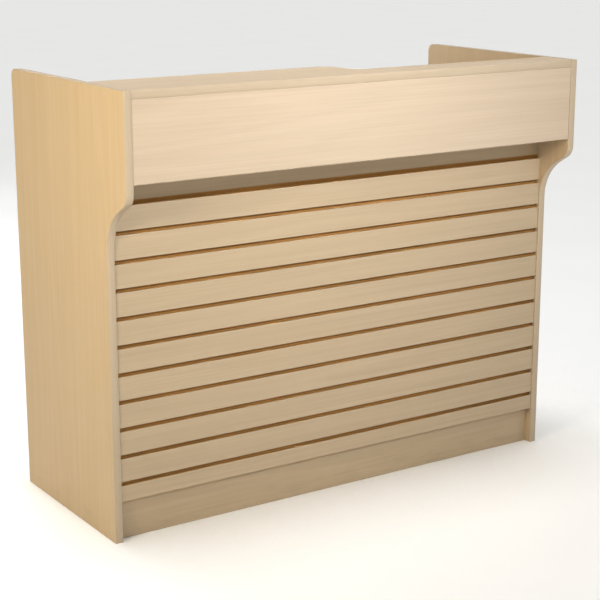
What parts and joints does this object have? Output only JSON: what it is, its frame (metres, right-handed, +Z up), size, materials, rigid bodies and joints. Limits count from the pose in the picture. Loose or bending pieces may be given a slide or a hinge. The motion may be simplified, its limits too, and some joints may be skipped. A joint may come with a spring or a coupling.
{
  "type": "checkout counter",
  "caption": "Ledge-top checkout counter: slatwall front between shaped end panels, stepped upper ledge, worktop, open shelves and a lockable drawer behind.",
  "frame": {"origin": "middle of the whole counter's footprint, on the floor", "axes": "+X along the counter to the customer's right, -Y towards the customer, +Z up"},
  "size_m": [1.306, 0.5916, 1.0668],
  "materials": {
    "maple_laminate": "satin light maple laminate on board",
    "slatwall_board": "satin light maple laminate, raw golden-brown board inside the grooves",
    "drawer_wood": "clear-lacquered drawer sides",
    "batten_wood": "planed softwood",
    "zinc_steel": "bright zinc plating",
    "satin_nickel": "satin nickel plating",
    "black_plastic": "fine-textured black plastic"
  },
  "bodies": {
    "carcass": {"left_end_panel": "maple_laminate", "right_end_panel": "maple_laminate", "slatwall_panel": "slatwall_board", "upper_front_rail": "maple_laminate", "front_kick_board": "maple_laminate", "ledge_top": "maple_laminate", "ledge_fascia": "maple_laminate", "ledge_riser": "maple_laminate", "ledge_soffit": "maple_laminate", "ledge_support": "maple_laminate", "fascia_cleat": "batten_wood", "riser_cleat": "batten_wood", "worktop": "maple_laminate", "base_deck": "maple_laminate", "rear_kick_board": "maple_laminate", "bay_divider": "maple_laminate", "left_shelf_pin_1": "zinc_steel", "left_shelf_pin_2": "zinc_steel", "left_shelf_pin_3": "zinc_steel", "left_shelf_pin_4": "zinc_steel", "right_shelf_pin_1": "zinc_steel", "right_shelf_pin_2": "zinc_steel", "right_shelf_pin_3": "zinc_steel", "right_shelf_pin_4": "zinc_steel", "corner_bracket_1": "zinc_steel", "corner_bracket_2": "zinc_steel", "corner_bracket_3": "zinc_steel", "corner_bracket_4": "zinc_steel", "corner_bracket_5": "zinc_steel", "corner_bracket_6": "zinc_steel", "corner_bracket_7": "zinc_steel", "corner_bracket_8": "zinc_steel", "grommet_sleeve": "black_plastic", "lock_strike": "zinc_steel", "slide_outer_left": "zinc_steel", "slide_outer_right": "zinc_steel"},
    "slide_middle": {"slide_middle_left": "zinc_steel", "slide_middle_right": "zinc_steel"},
    "drawer": {"drawer_front": "maple_laminate", "drawer_box_front": "drawer_wood", "drawer_side_left": "drawer_wood", "drawer_side_right": "drawer_wood", "drawer_back": "drawer_wood", "drawer_bottom": "drawer_wood", "drawer_pull": "satin_nickel", "pull_screw_left": "zinc_steel", "pull_screw_right": "zinc_steel", "slide_inner_left": "zinc_steel", "slide_inner_right": "zinc_steel", "lock_housing": "satin_nickel", "lock_nut": "zinc_steel"},
    "lock_plug": {"lock_plug": "satin_nickel", "lock_cam": "zinc_steel", "cam_screw": "zinc_steel"},
    "grommet_cap": {"grommet_cap": "black_plastic"},
    "left_shelf": {"left_shelf": "maple_laminate"},
    "right_shelf": {"right_shelf": "maple_laminate"}
  },
  "joints": [
    {"name": "drawer_slide", "type": "slide", "parent": "carcass", "child": "drawer", "axis": [0, 1, 0], "range_m": [0, 0.35]},
    {"name": "slide_middle_travel", "type": "slide", "parent": "carcass", "child": "slide_middle", "axis": [0, 1, 0], "range_m": [0, 0.175]},
    {"name": "lock_turn", "type": "hinge", "parent": "drawer", "child": "lock_plug", "pos_m": [-0.32174, 0.2618, 0.8225], "axis": [0, -1, 0], "range_deg": [0, 90]},
    {"name": "grommet_cap_turn", "type": "hinge", "parent": "carcass", "child": "grommet_cap", "pos_m": [0.35, -0.12, 0.8636], "axis": [0, 0, 1], "continuous": true},
    {"name": "left_shelf_lift", "type": "slide", "parent": "carcass", "child": "left_shelf", "axis": [0, 0, 1], "range_m": [0, 0.03]},
    {"name": "right_shelf_lift", "type": "slide", "parent": "carcass", "child": "right_shelf", "axis": [0, 0, 1], "range_m": [0, 0.03]}
  ],
  "couplings": [
    {"joint": "slide_middle_travel", "follows": "drawer_slide", "ratio": 0.5}
  ]
}
